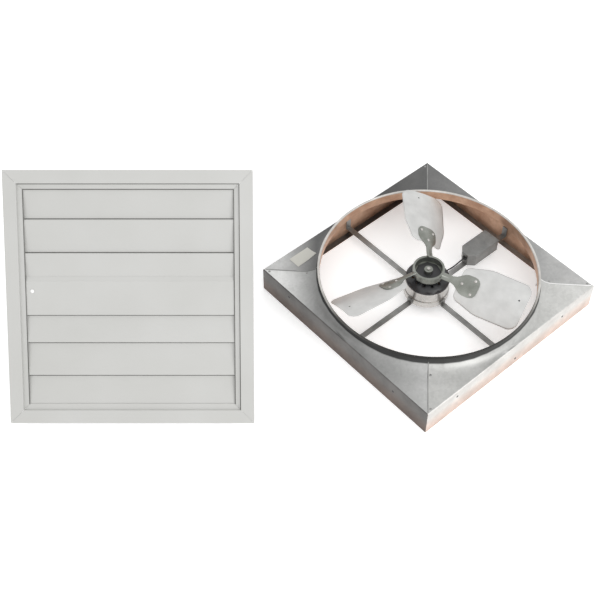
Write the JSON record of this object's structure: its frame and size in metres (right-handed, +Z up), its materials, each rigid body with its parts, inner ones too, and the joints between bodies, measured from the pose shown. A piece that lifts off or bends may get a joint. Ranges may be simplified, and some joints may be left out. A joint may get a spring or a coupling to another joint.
{
  "type": "whole house fan",
  "caption": "Square galvanised direct-drive whole house fan with a bladed rotor in a raised orifice, and its louvered automatic ceiling shutter leaning beside it.",
  "frame": {"origin": "middle of the set's bounding box, on the floor", "axes": "+Z up along the fan shaft, +X along the louvers from the shutter towards the fan, -Y towards the viewer who faces the shutter"},
  "size_m": [2.0812, 1.2188, 0.652],
  "materials": {
    "galvanised": "galvanised, fine spangle",
    "strut_steel": "plain zinc plate",
    "black_enamel": "black enamel",
    "bright_steel": "bright steel",
    "copper_winding": "enamelled copper and laminations",
    "plated_spider": "plated steel, satin",
    "blade_aluminium": "mill finish, satin",
    "black_rubber": "matte",
    "shutter_paint": "white powder coat, satin"
  },
  "bodies": {
    "housing": {"housing_panel_1": "galvanised", "housing_panel_2": "galvanised", "housing_panel_3": "galvanised", "housing_panel_4": "galvanised", "orifice_ring": "galvanised", "wiring_box": "galvanised", "wiring_box_cover": "galvanised", "strut_1": "strut_steel", "strut_2": "strut_steel", "strut_3": "strut_steel", "strut_4": "strut_steel", "motor_shell": "black_enamel", "motor_top_bell": "black_enamel", "motor_bottom_bell": "black_enamel", "motor_band": "bright_steel", "top_bearing": "bright_steel", "bottom_bearing": "bright_steel", "run_capacitor": "bright_steel", "return_spring_upper": "bright_steel", "return_spring_lower": "bright_steel", "motor_stator": "copper_winding", "cord_grommet": "black_rubber", "motor_lead": "black_rubber", "frame_rail_top": "shutter_paint", "frame_rail_bottom": "shutter_paint", "frame_rail_left": "shutter_paint", "frame_rail_right": "shutter_paint", "center_panel": "shutter_paint"},
    "fan_rotor": {"motor_rotor": "bright_steel", "motor_shaft": "bright_steel", "blade_spider": "plated_spider", "fan_blade_1": "blade_aluminium", "fan_blade_2": "blade_aluminium", "fan_blade_3": "blade_aluminium"},
    "louver_body_1": {"louver_1": "shutter_paint"},
    "louver_body_2": {"louver_2": "shutter_paint"},
    "louver_body_3": {"louver_3": "shutter_paint"},
    "louver_body_4": {"louver_4": "shutter_paint"},
    "louver_body_5": {"louver_5": "shutter_paint"},
    "louver_body_6": {"louver_6": "shutter_paint"},
    "tie_bar_upper_body": {"tie_bar_upper": "strut_steel"},
    "tie_bar_lower_body": {"tie_bar_lower": "strut_steel"}
  },
  "joints": [
    {"name": "fan_spin", "type": "hinge", "parent": "housing", "child": "fan_rotor", "pos_m": [0.43115, 0, 0.15], "axis": [0, 0, 1], "continuous": true},
    {"name": "louver_hinge_1", "type": "hinge", "parent": "housing", "child": "louver_body_1", "pos_m": [-0.61975, -0.01783, 0.60118], "axis": [1, 0, 0], "range_deg": [0, 50]},
    {"name": "louver_hinge_2", "type": "hinge", "parent": "housing", "child": "louver_body_2", "pos_m": [-0.61975, -0.09445, 0.51609], "axis": [1, 0, 0], "range_deg": [0, 50]},
    {"name": "louver_hinge_3", "type": "hinge", "parent": "housing", "child": "louver_body_3", "pos_m": [-0.61975, -0.17106, 0.431], "axis": [1, 0, 0], "range_deg": [0, 50], "stiffness_Nm_per_rad": 2, "springref_deg": -57.3},
    {"name": "louver_hinge_4", "type": "hinge", "parent": "housing", "child": "louver_body_4", "pos_m": [-0.61975, -0.37287, 0.20687], "axis": [-1, 0, 0], "range_deg": [0, 50], "stiffness_Nm_per_rad": 2, "springref_deg": -57.3},
    {"name": "louver_hinge_5", "type": "hinge", "parent": "housing", "child": "louver_body_5", "pos_m": [-0.61975, -0.44949, 0.12178], "axis": [-1, 0, 0], "range_deg": [0, 50]},
    {"name": "louver_hinge_6", "type": "hinge", "parent": "housing", "child": "louver_body_6", "pos_m": [-0.61975, -0.5261, 0.03669], "axis": [-1, 0, 0], "range_deg": [0, 50]},
    {"name": "tie_bar_upper_pivot", "type": "hinge", "parent": "louver_body_3", "child": "tie_bar_upper_body", "pos_m": [-0.61975, -0.24315, 0.316], "axis": [1, 0, 0], "range_deg": [-50, 0]},
    {"name": "tie_bar_lower_pivot", "type": "hinge", "parent": "louver_body_4", "child": "tie_bar_lower_body", "pos_m": [-0.61975, -0.26604, 0.29058], "axis": [-1, 0, 0], "range_deg": [-50, 0]}
  ],
  "couplings": [
    {"joint": "louver_hinge_1", "follows": "louver_hinge_3", "ratio": 1},
    {"joint": "louver_hinge_2", "follows": "louver_hinge_3", "ratio": 1},
    {"joint": "louver_hinge_5", "follows": "louver_hinge_4", "ratio": 1},
    {"joint": "louver_hinge_6", "follows": "louver_hinge_4", "ratio": 1},
    {"joint": "tie_bar_upper_pivot", "follows": "louver_hinge_3", "ratio": -1},
    {"joint": "tie_bar_lower_pivot", "follows": "louver_hinge_4", "ratio": -1}
  ]
}
